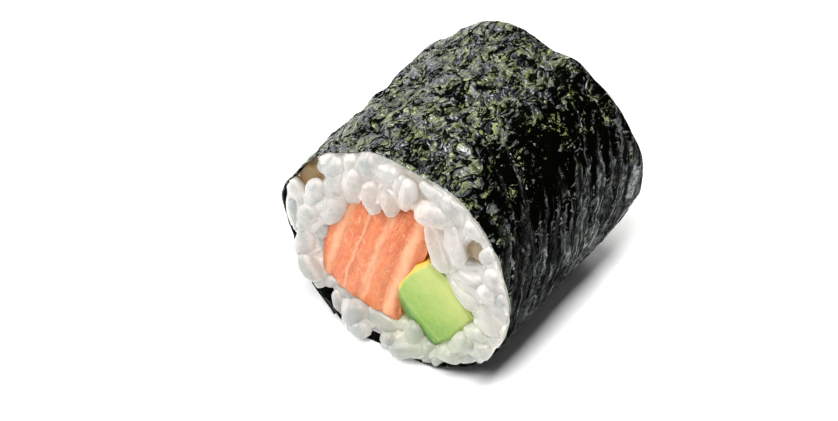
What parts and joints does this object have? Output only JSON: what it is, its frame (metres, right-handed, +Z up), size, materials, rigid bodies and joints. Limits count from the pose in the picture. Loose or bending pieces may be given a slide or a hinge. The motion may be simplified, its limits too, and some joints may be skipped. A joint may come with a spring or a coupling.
{
  "type": "salmon avocado sushi roll",
  "caption": "Piece of a sushi roll lying on its side: nori round rice, with a block of salmon and a wedge of avocado running through to both cut ends.",
  "frame": {"origin": "middle of the flat spot that the roll rests on, halfway between its cut ends", "axes": "+Z up; Y along the roll's axis, with the shown cut end towards -Y; +X to the right as seen from the shown end"},
  "size_m": [0.031, 0.0298, 0.0294],
  "materials": {
    "nori": "moist pressed seaweed, near black with olive flecks and a soft sheen",
    "rice": "moist cooked short-grain rice, white and a little translucent",
    "salmon": "moist raw salmon, orange with pale bands of fat",
    "avocado": "smooth moist flesh, green towards the skin side and yellow towards the stone side"
  },
  "bodies": {
    "root": {"nori": "nori", "rice": "rice", "salmon": "salmon", "avocado": "avocado"}
  },
  "joints": []
}
